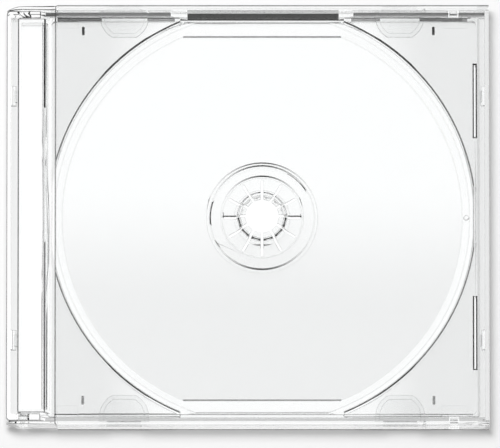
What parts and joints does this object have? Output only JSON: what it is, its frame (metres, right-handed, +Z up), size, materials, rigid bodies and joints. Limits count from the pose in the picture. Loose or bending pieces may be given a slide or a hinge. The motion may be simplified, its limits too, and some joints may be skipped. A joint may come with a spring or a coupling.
{
  "type": "compact disc case",
  "caption": "Flat clear plastic case for one disc: a back with a spine, a snap-in tray with a fingered hub, and a hinged lid with half-moon booklet tabs.",
  "frame": {"origin": "middle of the underside of the closed case, on the surface it lies on", "axes": "+X from the spine to the opening edge, +Y along the spine, +Z up through the lid"},
  "size_m": [0.142, 0.125, 0.0102],
  "materials": {
    "clear_shell": "gloss",
    "clear_tray": "gloss"
  },
  "bodies": {
    "case_back": {"base": "clear_shell", "tray": "clear_tray"},
    "case_lid": {"lid": "clear_shell"}
  },
  "joints": [
    {"name": "lid_hinge", "type": "hinge", "parent": "case_back", "child": "case_lid", "pos_m": [-0.066, 0, 0.0051], "axis": [0, -1, 0], "range_deg": [0, 180]}
  ]
}
